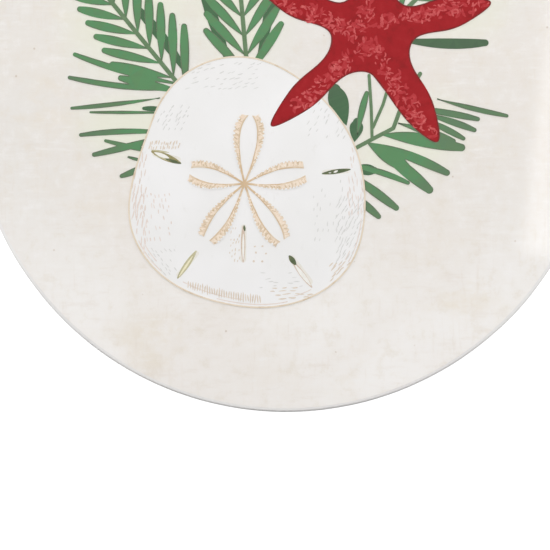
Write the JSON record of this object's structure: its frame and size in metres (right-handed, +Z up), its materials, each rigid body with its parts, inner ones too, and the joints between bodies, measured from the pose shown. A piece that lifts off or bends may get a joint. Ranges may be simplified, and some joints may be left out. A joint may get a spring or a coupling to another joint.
{
  "type": "hanging christmas ornament",
  "caption": "Flat round glazed ceramic hanging ornament with a printed face, swinging on a brass jump ring through a hole near its top edge.",
  "frame": {"origin": "top of the inside of the hanging ring, where a hook or a ribbon carries it", "axes": "+Z up along the hanging line, +Y out of the plain back, so the printed face looks along -Y"},
  "size_m": [0.073, 0.0124, 0.0812],
  "materials": {
    "brass_wire": "polished",
    "white_glaze": "gloss glaze, dry foot ring unglazed",
    "cream_enamel": "gloss, linen-textured print",
    "stem_enamel": "gloss",
    "green_enamel": "gloss",
    "dark_green_enamel": "gloss",
    "white_enamel": "gloss",
    "slot_enamel": "gloss",
    "red_enamel": "gloss",
    "pale_tan_enamel": "gloss",
    "tan_enamel": "gloss"
  },
  "bodies": {
    "hanger": {"hanging_ring": "brass_wire"},
    "ornament": {"ceramic_disc": "white_glaze", "ground_print": "cream_enamel", "stem_print": "stem_enamel", "fir_print": "green_enamel", "shade_fir_print": "dark_green_enamel", "sand_dollar_print": "white_enamel", "lunule_print": "slot_enamel", "starfish_print": "red_enamel", "petal_print": "pale_tan_enamel", "ink_line_print": "tan_enamel"}
  },
  "joints": [
    {"name": "hang_swing", "type": "hinge", "parent": "hanger", "child": "ornament", "pos_m": [0, 0, -0.00705], "axis": [1, 0, 0], "range_deg": [-90, 90]}
  ]
}
